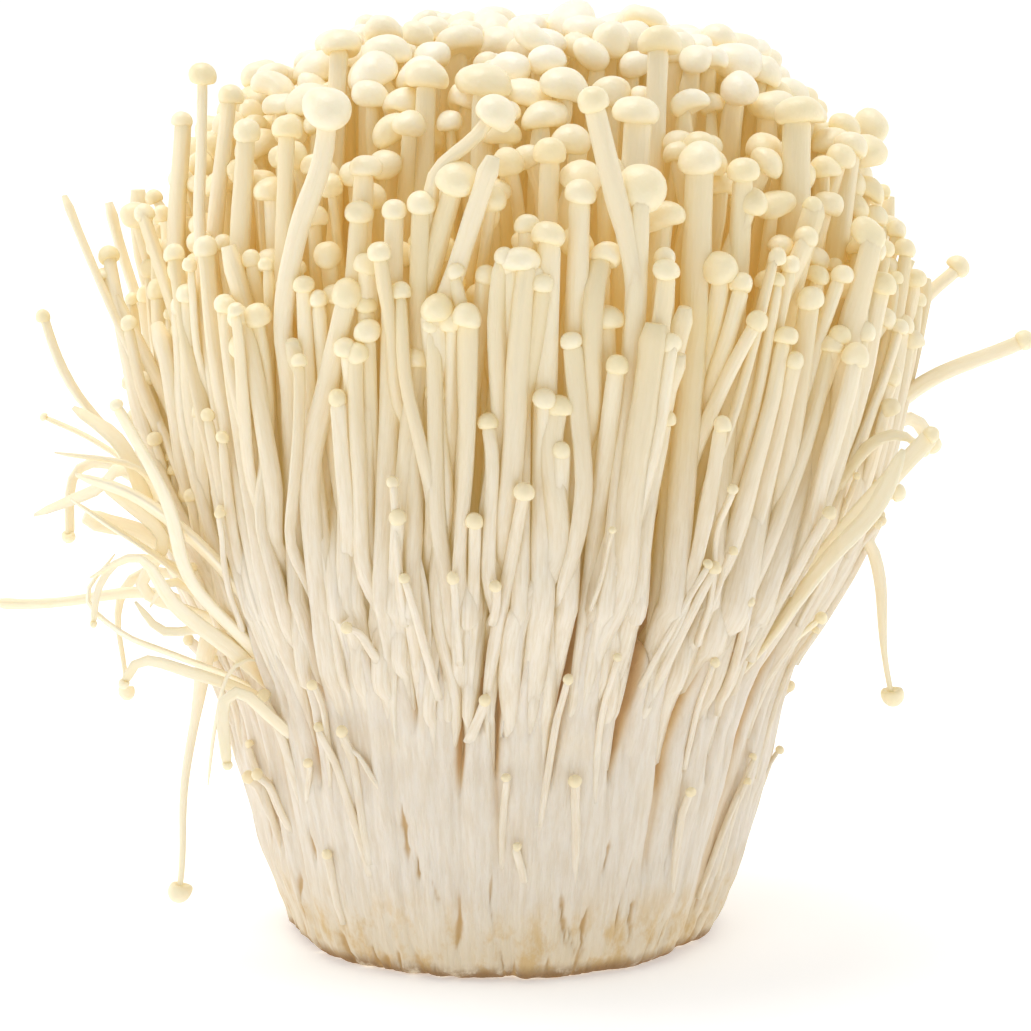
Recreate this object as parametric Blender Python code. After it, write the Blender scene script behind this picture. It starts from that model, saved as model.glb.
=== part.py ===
"""A bunch of enoki mushrooms, standing upright on the flat cut base that it grew from.

Metres, +Z up. The origin is the middle of the cut underside. A bearing is an angle round the
bunch in degrees, seen from above: 0 is the front (-Y), 90 is the right (+X), 180 is the back.

From the bottom up, the bunch is
- fused_base: the feet of all the mushrooms, grown together into one block and cut flat below,
- clump_*: the packed inner mushrooms, as the seven tufts that the bunch tears into,
- mushroom_* and stray_*: the outer mushrooms, one solid each, their feet on the rim of the base.
"""

import math
import random

import bmesh
import bpy
from mathutils import Vector

MM = 0.001

# Driving dimensions
BASE_HEIGHT = 38 * MM  # where the stems part from the fused base
BUNCH_HEIGHT = 131 * MM  # top of the middle caps
GAP = 0.3 * MM  # left between neighbouring solids
LANES = 50  # outer mushrooms round the rim, one to a lane
SEED = 7

# Radius of the whole bunch at each height: a narrow cut foot, a flare, upright sides, a shoulder.
BUNCH_PROFILE = (
    (0 * MM, 30.0 * MM),
    (11 * MM, 34.0 * MM),
    (18 * MM, 36.0 * MM),
    (33 * MM, 39.6 * MM),
    (38 * MM, 41.4 * MM),
    (47 * MM, 45.4 * MM),
    (62 * MM, 52.5 * MM),
    (77 * MM, 56.3 * MM),
    (91 * MM, 56.8 * MM),
    (106 * MM, 54.0 * MM),
    (116 * MM, 50.5 * MM),
    (131 * MM, 44.0 * MM),
)

# Base
SIDES_PER_FLUTE = 3  # the base has one flute below every lane
BASE_RINGS = (0.0, 0.04, 0.3, 0.62, 1.0)  # as shares of the base's height
FLUTE_DEPTH = 1.3 * MM  # at the top of the base, fading out towards the cut
FOOT_ROUNDING = 0.6 * MM

# Clumps
OUTER_SKIN = 4.8 * MM  # depth of the ring of outer mushrooms round the clumps
CLUMPS = ("front", "front_right", "back_right", "back", "back_left", "front_left")
SECTOR = 360 / len(CLUMPS)
CENTRE_SHARE = 0.33  # radius of the middle clump, as a share of the clumps' radius
CLUMP_STEMS = 26  # ridges round a clump, one for every stem on its skin
FURROW_DEPTH = 1.0 * MM  # of the grooves between them
CLUMP_HEIGHTS = (54 * MM, 76 * MM, 98 * MM)
DOME_DROP = 13 * MM  # how far the canopy falls from the middle to its shoulder
DOME_RADIUS = 45 * MM
CAP_RADIUS = 3.75 * MM
CAP_FLATNESS = 0.8
CAP_SINK = 0.9 * MM  # how deep the canopy's caps sit in their clump
CAP_ROWS = ((0.53, 3), (0.72, 4), (0.91, 5))  # share of the clumps' radius, caps in a sector
CAP_VARIATION = 0.12  # of the cap's radius
CAP_UNEVENNESS = 1.2 * MM

# Outer mushrooms
STEM_STEP = 14 * MM
STRAY_STEP = 5 * MM
UPRIGHT_FOOT = 1.5 * MM  # every stem leaves the base straight up for this far
STEM_LANE_INSET = 2.3 * MM  # a stem's centreline, in from the bunch's radius
CAP_HEIGHT = 1.2  # in cap radii, from the gills to the top
# A mushroom's outline near its tip: distance below the top in cap heights, radius in cap radii.
CAP_OUTLINE = ((0.97, 0.78), (0.76, 1.0), (0.42, 0.9), (0.15, 0.58), (0.0, 0.18))

# The front and side mushrooms that stand in their lanes: lane number (negative to the left),
# then height of the top, stem radius and cap radius in millimetres, sideways lean in degrees.
PLACED = {
    -8: (112, 1.4, 1.9, -2),
    -7: (95, 1.6, 2.6, 0),
    -6: (108, 1.6, 2.4, 1),
    -5: (119, 1.7, 3.4, -1),
    -4: (98, 1.6, 2.4, -1),
    -3: (76, 1.5, 1.6, 1),
    -2: (67, 1.4, 1.5, 0),
    -1: (90, 1.5, 2.1, 1),
    0: (72, 1.3, 2.0, 3),
    1: (84, 1.4, 2.1, 0),
    2: (75, 1.3, 1.7, 1),
    3: (92, 1.6, 2.2, 2),
    4: (62, 1.3, 1.5, 1),
    5: (88, 1.7, 2.3, 3),
    6: (106, 1.6, 2.8, 3),
    7: (91, 1.7, 2.2, 2),
    8: (112, 1.4, 2.6, 1),
}

# Mushrooms that leave the bunch: (lane, stem radius, cap radius), then the way from the rim as
# points of (distance from the axis, lean in degrees from the lane, height), in millimetres.
STRAYS = {
    "stray_left_hanging": (
        (-9, 1.3, 1.8),
        ((42.2, 0, 46), (45.4, 0, 47), (47.6, -1, 35), (50.5, -2, 9)),
    ),
    "stray_left_raised": (
        (-10, 1.0, 1.4),
        ((44.0, -1, 50), (54.0, -3, 70), (62.0, -4, 82), (66.0, -4, 94)),
    ),
    "stray_left_broken": (
        (-11, 1.5, 1.6),
        ((45.4, 0, 52), (51.5, -1, 60), (60.0, -2, 63)),
    ),
    "stray_left_level": (
        (-12, 0.8, 1.2),
        ((42.0, 0, 46), (50.0, -1, 50), (62.0, -1, 49), (73.0, -1, 49)),
    ),
    "stray_left_drooping": (
        (-13, 0.8, 1.5),
        ((43.8, 0, 50), (52.0, 1, 52), (56.0, 2, 45), (54.0, 3, 34)),
    ),
    "stray_left_curled": (
        (-14, 0.8, 1.2),
        ((45.8, 0, 54), (56.0, 1, 66), (62.5, 2, 66), (64.0, 3, 55)),
    ),
    "stray_left_thin": (
        (-15, 0.7, 1.0),
        ((45.8, 0, 54), (54.0, 1, 63), (62.0, 2, 68), (70.0, 3, 73)),
    ),
    "stray_left_upright": (
        (-16, 1.1, 1.6),
        ((49.0, 0, 60), (56.0, 2, 80), (62.0, 3, 104)),
    ),
    "stray_right_low": (
        (9, 0.8, 1.1),
        ((41.5, 1, 44), (44.5, 2, 46), (49.0, 4, 50)),
    ),
    "stray_right_short": (
        (10, 1.1, 1.8),
        ((47.2, 0, 56), (52.5, 1, 65), (60.0, 2, 68)),
    ),
    "stray_right_hanging": (
        (11, 1.1, 1.9),
        ((45.0, 0, 52), (51.5, 1, 60), (54.8, 2, 54), (57.0, 3, 34)),
    ),
    "stray_right_long": (
        (12, 1.2, 1.8),
        ((46.2, 0, 54), (54.0, 0, 73), (62.0, 0, 82), (76.0, 0, 88)),
    ),
    "stray_right_high": (
        (13, 1.2, 2.0),
        ((49.2, 0, 60), (55.0, 0, 80), (60.0, 1, 91), (68.0, 2, 97)),
    ),
    "stray_right_bowed": (
        (14, 1.2, 1.7),
        ((47.4, 0, 56), (54.5, 1, 69), (62.0, 2, 73), (66.5, 3, 67)),
    ),
}

PARTS = "enoki_bunch"
HELPERS = "enoki_bunch_cutters"


def clear_scene():
    """Removes every object of the scene that the script starts from."""
    for obj in list(bpy.data.objects):
        bpy.data.objects.remove(obj, do_unlink=True)


def new_collection(name):
    collection = bpy.data.collections.new(name)
    bpy.context.scene.collection.children.link(collection)
    return collection


def flesh(name, color, roughness):
    """A plain mushroom-flesh material."""
    material = bpy.data.materials.new(name)
    material.use_nodes = True
    shader = material.node_tree.nodes["Principled BSDF"]
    shader.inputs["Base Color"].default_value = (*color, 1.0)
    shader.inputs["Roughness"].default_value = roughness
    shader.inputs["Metallic"].default_value = 0.0
    return material


def mesh_object(name, bm, collection, material):
    """An object of the finished bmesh, smooth but for its sharp edges."""
    mesh = bpy.data.meshes.new(name)
    bmesh.ops.recalc_face_normals(bm, faces=bm.faces)
    bm.to_mesh(mesh)
    bm.free()
    mesh.materials.append(material)
    mesh.shade_smooth()
    mesh.set_sharp_from_angle(angle=math.radians(50))
    obj = bpy.data.objects.new(name, mesh)
    collection.objects.link(obj)
    return obj


def place(radius, bearing, z):
    """The point at a distance from the axis, a bearing in degrees and a height."""
    angle = math.radians(bearing)
    return Vector((radius * math.sin(angle), -radius * math.cos(angle), z))


def catmull_rom(p0, p1, p2, p3, t):
    """The smooth curve through p1 and p2, at share t of the way between them."""
    return 0.5 * (
        2 * p1
        + (p2 - p0) * t
        + (2 * p0 - 5 * p1 + 4 * p2 - p3) * t**2
        + (3 * p1 - p0 - 3 * p2 + p3) * t**3
    )


def bunch_radius(z):
    """Radius of the whole bunch at height z, smooth through BUNCH_PROFILE."""
    profile = BUNCH_PROFILE
    last = len(profile) - 2
    i = next((i for i in range(last) if z < profile[i + 1][0]), last)
    radii = [profile[min(max(k, 0), last + 1)][1] for k in range(i - 1, i + 3)]
    share = (z - profile[i][0]) / (profile[i + 1][0] - profile[i][0])
    return catmull_rom(*radii, min(max(share, 0.0), 1.0))


def clumps_radius(z):
    """Outer radius of the ring of clumps, inside the outer mushrooms."""
    return bunch_radius(z) - OUTER_SKIN


def dome_height(radius):
    """Height of the canopy's surface at a distance from the axis."""
    top = BUNCH_HEIGHT - CAP_RADIUS * CAP_FLATNESS
    return top - DOME_DROP * (radius / DOME_RADIUS) ** 2


def smooth_route(points, steps=6):
    """The points of a smooth curve through a route's own points."""
    ends = [2 * points[0] - points[1], *points, 2 * points[-1] - points[-2]]
    curve = [
        catmull_rom(*ends[i : i + 4], step / steps)
        for i in range(len(points) - 1)
        for step in range(steps)
    ]
    return [*curve, points[-1]]


def route_length(route):
    return sum((b - a).length for a, b in zip(route, route[1:]))


def point_along(route, distance):
    """The point of the route at a distance from its start."""
    for a, b in zip(route, route[1:]):
        step = (b - a).length
        if distance <= step or b is route[-1]:
            return a.lerp(b, distance / step)
        distance -= step


def bridge_rings(bm, lower, upper):
    """Joins two rings of the same number of vertices with a band of faces."""
    for i, corner in enumerate(lower):
        j = (i + 1) % len(lower)
        bm.faces.new((corner, lower[j], upper[j], upper[i]))


def loft(rings):
    """A closed bmesh through rings of points, with the last ring closed over its middle."""
    bm = bmesh.new()
    levels = [[bm.verts.new(point) for point in ring] for ring in rings]
    bm.faces.new(levels[0])
    for lower, upper in zip(levels, levels[1:]):
        bridge_rings(bm, lower, upper)
    top = bm.verts.new(sum(rings[-1], Vector()) / len(rings[-1]))
    for a, b in zip(levels[-1], levels[-1][1:] + levels[-1][:1]):
        bm.faces.new((a, b, top))
    return bm


def build_base(collection, material):
    """The fused block: fluted by the stems that it is made of, and cut flat below."""
    sides = LANES * SIDES_PER_FLUTE
    rings = []
    for share in BASE_RINGS:
        z = share * BASE_HEIGHT
        radius = bunch_radius(z) - (FOOT_ROUNDING if share == 0 else 0)
        depth = FLUTE_DEPTH * share / 2
        ring = []
        for i in range(sides):
            flute = 1 - math.cos(math.tau * i / SIDES_PER_FLUTE)
            ring.append(place(radius - depth * flute, 360 * i / sides, z))
        rings.append(ring)
    return mesh_object("fused_base", loft(rings), collection, material)


def arc(radius, bearing, half_width, steps=12):
    """Points on an arc round the axis, half_width degrees to either side of the bearing."""
    shares = [2 * i / steps - 1 for i in range(steps + 1)]
    return [place(radius, bearing + half_width * share, 0.0) for share in shares]


def wedge(bearing, r):
    """The outline of a side clump that reaches out to radius r, half a gap clear of the next."""
    inner = CENTRE_SHARE * r + GAP
    outer_arc = arc(r, bearing, SECTOR / 2 - math.degrees(GAP / 2 / r))
    inner_arc = arc(inner, bearing, SECTOR / 2 - math.degrees(GAP / 2 / inner))
    return [*outer_arc, *reversed(inner_arc)]


def furrowed(outline):
    """Even points round an outline: stems' ridges on it, and the furrows between them inside it."""
    closed = [*outline, outline[0]]
    middle = sum(outline, Vector()) / len(outline)
    step = route_length(closed) / (2 * CLUMP_STEMS)
    points = [point_along(closed, i * step) for i in range(2 * CLUMP_STEMS)]
    return [
        point + (middle - point).normalized() * FURROW_DEPTH * (i % 2)
        for i, point in enumerate(points)
    ]


def clump_outline(clump, r):
    """The furrowed outline of a clump where the clumps' outer radius is r."""
    if clump is None:
        return furrowed(arc(CENTRE_SHARE * r, 0, 180)[:-1])
    return furrowed(wedge(clump * SECTOR, r))


def clump_rings(clump):
    """A clump's outline repeated up the bunch, spreading with it, then closed over the dome."""
    rings = [
        [point + Vector((0, 0, z)) for point in clump_outline(clump, clumps_radius(z))]
        for z in (BASE_HEIGHT + GAP, *CLUMP_HEIGHTS)
    ]
    edge = clump_outline(clump, clumps_radius(BUNCH_HEIGHT - DOME_DROP))
    middle = sum(edge, Vector()) / len(edge)
    for spread in (1.0, 0.55):
        ring = [middle.lerp(point, spread) for point in edge]
        rings.append([Vector((p.x, p.y, dome_height(p.length) - CAP_SINK)) for p in ring])
    return rings


def cap_spots(clump):
    """Where the canopy's caps of a clump stand, as (radius, bearing)."""
    reach = clumps_radius(BUNCH_HEIGHT - DOME_DROP)
    if clump is None:
        ring = CENTRE_SHARE * reach - CAP_RADIUS - GAP
        return [(0.0, 0.0)] + [(ring, 60 * k + 30) for k in range(6)]
    spots = []
    for share, count in CAP_ROWS:
        step = SECTOR / count
        first = clump * SECTOR - SECTOR / 2 + step / 2
        spots += [(share * reach, first + k * step) for k in range(count)]
    return spots


def build_canopy_caps(name, clump, helpers, material):
    """The caps on top of a clump, as one helper mesh of separate flattened balls."""
    chance = random.Random(name)
    bm = bmesh.new()
    for radius, bearing in cap_spots(clump):
        size = CAP_RADIUS * (1 - chance.uniform(0, CAP_VARIATION))
        height = dome_height(radius) + chance.uniform(-1, 1) * CAP_UNEVENNESS
        ball = bmesh.ops.create_uvsphere(bm, u_segments=8, v_segments=5, radius=size)["verts"]
        bmesh.ops.scale(bm, vec=(1, 1, CAP_FLATNESS), verts=ball)
        bmesh.ops.translate(bm, vec=place(radius, bearing, height), verts=ball)
    caps = mesh_object(name, bm, helpers, material)
    caps.hide_render = True
    caps.display_type = "WIRE"
    return caps


def build_clump(name, clump, collection, helpers, material):
    """A tuft of packed mushrooms: a lobed, flaring body with its caps joined on top."""
    body = mesh_object(name, loft(clump_rings(clump)), collection, material)
    union = body.modifiers.new("canopy_caps", "BOOLEAN")
    union.operation = "UNION"
    union.object = build_canopy_caps(f"{name}_caps", clump, helpers, material)
    return body


def mushroom_stations(route, stem_radius, cap_radius, step):
    """(point, radius) along a mushroom: an even stem, then the outline of its cap."""
    length = route_length(route)
    cap_height = CAP_HEIGHT * cap_radius
    neck = length - 1.25 * cap_height
    count = max(2, round(neck / step))
    stations = [(0.0, stem_radius), (UPRIGHT_FOOT, stem_radius)]
    stations += [(neck * i / count, stem_radius) for i in range(1, count + 1)]
    stations += [(length - below * cap_height, share * cap_radius) for below, share in CAP_OUTLINE]
    return [(point_along(route, distance), radius) for distance, radius in stations]


def build_mushroom(name, stations, collection, material):
    """One mushroom, stem and cap in one piece: a bevelled curve whose radius follows its outline."""
    data = bpy.data.curves.new(name, "CURVE")
    data.dimensions = "3D"
    data.bevel_depth = 1 * MM
    data.bevel_resolution = 1
    data.use_fill_caps = True
    spline = data.splines.new("POLY")
    spline.points.add(len(stations) - 1)
    for knot, (point, radius) in zip(spline.points, stations):
        knot.co = (*point, 1.0)
        knot.radius = radius / data.bevel_depth
    data.materials.append(material)
    obj = bpy.data.objects.new(name, data)
    collection.objects.link(obj)
    return obj


def lane_bearing(lane):
    return lane * 360 / LANES


def foot_of(lane):
    """Where a lane's mushroom stands on the rim of the base."""
    return place(bunch_radius(BASE_HEIGHT) - STEM_LANE_INSET, lane_bearing(lane), BASE_HEIGHT + GAP)


def route_from_foot(foot, points):
    """The smooth way from a foot through the given points, straight up at first."""
    upright = foot + Vector((0, 0, UPRIGHT_FOOT))
    return [foot, *smooth_route([upright, *points])]


def lane_route(lane, top, cap_radius, lean):
    """The way of a mushroom that follows the bunch's flare up its lane."""
    bearing = lane_bearing(lane)
    crowding = max(0.0, cap_radius + STEM_LANE_INSET + 2 * GAP - OUTER_SKIN)
    points = []
    for share in (0.2, 0.4, 0.6, 0.8, 1.0):
        z = BASE_HEIGHT + GAP + share * (top - BASE_HEIGHT - GAP)
        radius = bunch_radius(z) - STEM_LANE_INSET + crowding * share**2
        points.append(place(radius, bearing + lean * share**2, z))
    return route_from_foot(foot_of(lane), points)


def stray_route(lane, points):
    """The way of a mushroom that leaves the bunch."""
    bearing = lane_bearing(lane)
    way = [place(radius * MM, bearing + lean, z * MM) for radius, lean, z in points]
    return route_from_foot(foot_of(lane), way)


def outer_mushrooms():
    """The name and the stations of every mushroom round the rim."""
    made = {}
    for name, ((lane, stem, cap), points) in STRAYS.items():
        route = stray_route(lane, points)
        made[name] = mushroom_stations(route, stem * MM, cap * MM, STRAY_STEP)
    taken = {lane % LANES for (lane, *_), _ in STRAYS.values()}
    chance = random.Random(SEED)
    for lane in range(LANES):
        stem = chance.uniform(1.2, 1.7)
        cap = chance.uniform(1.8, 3.2)
        grown = (chance.uniform(64, 118), stem, cap, chance.uniform(-2, 2))
        signed = lane if lane < LANES / 2 else lane - LANES
        height, stem, cap, lean = PLACED.get(signed, grown)
        if lane not in taken:
            route = lane_route(lane, height * MM, cap * MM, lean)
            made[f"mushroom_{lane:02d}"] = mushroom_stations(route, stem * MM, cap * MM, STEM_STEP)
    return made


def main():
    clear_scene()
    parts = new_collection(PARTS)
    helpers = new_collection(HELPERS)
    base_flesh = flesh("base_flesh", (0.72, 0.62, 0.48), 0.6)
    clump_flesh = flesh("clump_flesh", (0.83, 0.74, 0.56), 0.5)
    mushroom_flesh = flesh("mushroom_flesh", (0.88, 0.81, 0.66), 0.45)
    build_base(parts, base_flesh)
    build_clump("clump_middle", None, parts, helpers, clump_flesh)
    for i, side in enumerate(CLUMPS):
        build_clump(f"clump_{side}", i, parts, helpers, clump_flesh)
    for name, stations in outer_mushrooms().items():
        build_mushroom(name, stations, parts, mushroom_flesh)


main()
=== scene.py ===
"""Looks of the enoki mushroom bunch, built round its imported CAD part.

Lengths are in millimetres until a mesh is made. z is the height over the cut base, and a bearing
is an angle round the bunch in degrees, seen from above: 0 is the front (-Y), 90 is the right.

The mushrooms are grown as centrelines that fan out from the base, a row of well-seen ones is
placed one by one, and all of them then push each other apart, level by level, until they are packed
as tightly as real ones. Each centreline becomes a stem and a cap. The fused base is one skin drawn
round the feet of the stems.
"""

import math
from dataclasses import dataclass

import bpy
import numpy as np
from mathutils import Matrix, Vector

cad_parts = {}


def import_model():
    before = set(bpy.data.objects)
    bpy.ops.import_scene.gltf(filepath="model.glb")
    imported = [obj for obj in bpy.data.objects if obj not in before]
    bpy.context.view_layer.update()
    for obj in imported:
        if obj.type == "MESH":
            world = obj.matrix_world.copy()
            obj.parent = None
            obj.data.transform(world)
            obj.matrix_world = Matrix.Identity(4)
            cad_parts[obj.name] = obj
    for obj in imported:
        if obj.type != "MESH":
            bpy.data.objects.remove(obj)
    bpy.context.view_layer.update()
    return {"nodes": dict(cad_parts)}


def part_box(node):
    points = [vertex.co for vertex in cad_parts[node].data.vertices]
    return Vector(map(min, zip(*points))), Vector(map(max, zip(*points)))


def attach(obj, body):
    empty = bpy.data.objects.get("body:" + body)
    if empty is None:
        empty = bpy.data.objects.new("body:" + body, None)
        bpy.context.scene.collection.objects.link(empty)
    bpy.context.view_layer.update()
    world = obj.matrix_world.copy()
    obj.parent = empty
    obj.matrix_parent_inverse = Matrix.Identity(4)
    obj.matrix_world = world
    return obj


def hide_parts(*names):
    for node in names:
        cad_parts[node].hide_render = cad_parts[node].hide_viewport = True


MM = 0.001
SEED = 11
GOLDEN_ANGLE = 137.508

VIEW_AIM, VIEW_DISTANCE, VIEW_ELEVATION = (2.2, 0, 61), 750, 11
LENS, SENSOR = 181, 36
# The scale of FRONT: the height that the view's middle shows there, and how far from the eye
# heights and widths there are true.
FRONT_MIDDLE, FRONT_AWAY, SIDE_AWAY = 69.5, 723, 710

# ---- the shape of the whole bunch

# How far the stems of the outermost ring are from the axis, if they grew on to the top.
FAN = (
    (0, 29.5), (4, 31), (11, 33.5), (19, 35.6), (26, 37.6), (34, 39.3), (41, 41.5), (48, 45),
    (56, 49), (63, 51.5), (71, 53.5), (78, 55), (85, 56.3), (100, 58.5), (118, 60.5), (140, 62),
)
# Height of the canopy at each distance from the axis.
CANOPY = (
    (0, 134), (20, 133.5), (28, 131.5), (35, 127.5), (40, 123), (46, 118), (49, 114), (51, 108),
    (54, 101), (57, 91), (59, 80), (62, 70),
)
LEAN = ((0, 0.0), (40, 0.3), (85, 2.6), (140, 3.2))  # height, shift of the axis to the right

GOLDEN_SHARE = 0.618  # its multiples, without their whole part, spread evenly over 0 to 1
FLESH_HEIGHTS = (58, 98)  # the base's colour goes over into the stems' between these
HALF_DEPTH = 50  # beyond this the stems crowd together, at the front and at the back
MIDDLE_SHARE, OUTER_SHARE = 0.33, 0.84  # where the middle piece ends and the outer ones begin
BURIED = 32.0  # below this height the stems are inside the fused base
LEVEL_STEP = 2.0
LEVELS = np.arange(0.0, 138.0, LEVEL_STEP)

# The outer mushrooms stand in shells: share of the base's radius, how many, lowest top as a share
# of the canopy's height, share of them that reach the canopy.
SHELLS = (
    (0.975, 146, 0.70, 0.58),
    (0.92, 130, 0.78, 0.7),
    (0.86, 106, 0.88, 0.85),
)
INNER_SHARE = 0.85
INNER_MUSHROOMS = 345
PINS = 96

# Mushrooms listed one by one, at the front and on the left, as (stem radius, cap radius, depth
# behind the front row, way up, and how far the cap nods to the front in degrees, if it does). The
# way is x and z as they look from the front, point by point. A cap radius of 0 is a stem with no
# cap.
FRONT = (
    (1.1, 1.65, 0, (-9.5, 45, -7.2, 74, -6.5, 97)),
    (1.4, 1.5, 2, (-7, 45, -4.5, 78, -1.7, 103.5)),
    (1.5, 1.7, 0, (-4, 45, -0.6, 78, 1.4, 104.5)),
    (1.4, 1.55, 1, (-1, 45, 2.1, 78, 4.6, 103.5)),
    (1.2, 1.65, 0, (4.6, 44, 5.4, 62, 6.2, 86)),
    (1.1, 1.2, 0, (6.8, 44, 7.6, 58, 8.6, 79)),
    (1, 1.45, -0.8, (-1.5, 46, 1, 60, 3.5, 73)),
    (0.95, 1.2, -0.6, (-14.5, 42, -14.6, 55, -13.9, 69.5)),
    (0.9, 1.25, -0.5, (-4, 45, -3.6, 56, -3.3, 69)),
    (1.3, 1.55, 0, (10.5, 46, 13.5, 70, 16.2, 91)),
    (1.25, 0, -0.8, (15.1, 44, 16.5, 60, 19.3, 74.5, 24.7, 92)),
    (1.4, 0, 2, (16.5, 46, 21.5, 80, 25.4, 98.5)),
    (1.15, 1.5, -0.5, (21, 46, 25, 72, 30, 86, 36, 97)),
    (1.5, 1.7, 2.5, (25, 50, 30, 78, 35.3, 92.3, 42.7, 108.6), 10),
    (1.3, 2.3, 4, (21, 50, 23.5, 75, 26.5, 88.8, 31, 104, 35.2, 113.5), 15),
    (1.2, 1.3, 0, (30, 48, 36, 72, 40.8, 91.5)),
    (1.5, 1.6, 1, (33, 48, 41, 78, 47, 95)),
    (1.6, 1.8, 1, (32, 48, 38, 72, 43.5, 83.1, 53.5, 97.2)),
    (1.7, 1.4, 5, (30, 55, 39, 98, 43.6, 113)),
    (1.65, 3.6, -0.5, (-27, 50, -28.7, 86, -29.6, 97, -27.6, 109, -24.3, 119, -23.3, 126.8), 8),
    (1.8, 4.1, 22, (-4, 60, -3, 100, -2, 130), 12),
    (1.6, 3.2, 24, (-12, 60, -11, 100, -9.8, 131), 10),
    (1.7, 3, 26, (19, 60, 20.5, 100, 22, 136)),
    (1.5, 2.9, 1, (-16, 50, -13, 90, -9.5, 104, -5.4, 116.5), 20),
    (1.25, 0, 0.5, (-13.5, 52, -10, 89, -5.4, 105, -0.8, 119.5)),
    (1.2, 2.8, 3, (-14, 60, -11, 100, -9.6, 112, -8.4, 117.5, -3, 122.5, 0.6, 126), 5),
    (1.5, 1.7, 2, (-19, 50, -18.5, 80, -17.9, 105)),
    (1.1, 1.5, 0.5, (-22, 50, -25.5, 80, -26.8, 102)),
    (1.5, 2.2, 0, (-23.5, 50, -26, 74, -23.5, 88, -20.5, 100.5), 30),
    (1.4, 2.3, 6, (-20, 60, -19.5, 90, -18.4, 118.5)),
    (1.4, 2.1, 3, (-21, 60, -20.5, 90, -19.2, 112)),
    (1.3, 1.75, 1.5, (-16, 60, -15, 90, -14.4, 112.5)),
    (1.4, 1.95, 1.5, (-12, 60, -11.2, 90, -10.7, 113.5)),
    (1.4, 2.1, 7, (-28, 60, -29.6, 95, -29, 124)),
    (1.4, 1.95, 9, (-32, 60, -35.5, 95, -34.6, 123.5)),
    (1, 2.05, 9, (-34, 60, -39.6, 90, -41, 110, -40.8, 120, -40.6, 131.5), 6),
    (1.3, 1.9, 18, (-34, 60, -39, 100, -36.8, 128.6)),
    (1.3, 1.6, 16, (-38, 60, -44, 100, -43.3, 124.9)),
    (1.3, 1.5, 2, (-34, 60, -39, 81, -43.5, 95.5, -49.2, 112)),
    (1.7, 3, 34, (-22, 60, -23, 100, -21.8, 135.5)),
    (1.5, 2.1, -0.5, (15, 50, 17.6, 78, 18.2, 91.6, 18.6, 103, 15.4, 116.6, 12.4, 128)),
    (1.6, 2.35, 1, (6, 60, 6.4, 90, 7, 109)),
    (1.5, 2.25, 2, (9.5, 60, 10.5, 90, 11.2, 115)),
    (1.3, 1.75, 3, (3, 60, 3.4, 90, 3.9, 110.5)),
    (1.5, 2.4, 8, (5, 60, 6, 95, 6.9, 120.8)),
    (1.4, 1.5, 2, (19, 60, 21.5, 85, 22.8, 106)),
    (1.4, 3.5, 0, (15, 60, 18.5, 95, 19.6, 114.5), 62),
    (2, 3.4, 12, (14, 60, 17, 95, 19, 126)),
    (1.9, 3.1, 6, (24, 60, 26.5, 95, 27.5, 119.5), 15),
    (1.6, 2.35, 5, (29, 60, 32, 95, 33.4, 118)),
    (2.3, 3.4, 13, (33, 60, 39.5, 100, 40.9, 126)),
    (1.6, 2.4, 15, (37, 60, 45, 100, 48.6, 121.5)),
    (1.3, 1.7, 2, (-33, 60, -38.5, 90, -40.5, 107.5)),
    (1.3, 1.5, 2, (-35, 60, -42, 90, -44.8, 106.5)),
    (1.3, 1.5, 0.5, (-32, 60, -36, 85, -37.9, 99.5)),
    (1.6, 1.9, 2, (37, 60, 46, 90, 51.8, 107)),
    (1.3, 1.6, 2, (-38, 58, -47, 76, -51, 92, -53.8, 106)),
    (0.8, 0, 5, (-38, 60, -48, 86, -56, 105, -59.6, 114)),
    (1.1, 1.3, 1, (-34, 58, -38, 68, -45.4, 85.6, -54.5, 103)),
)

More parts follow.
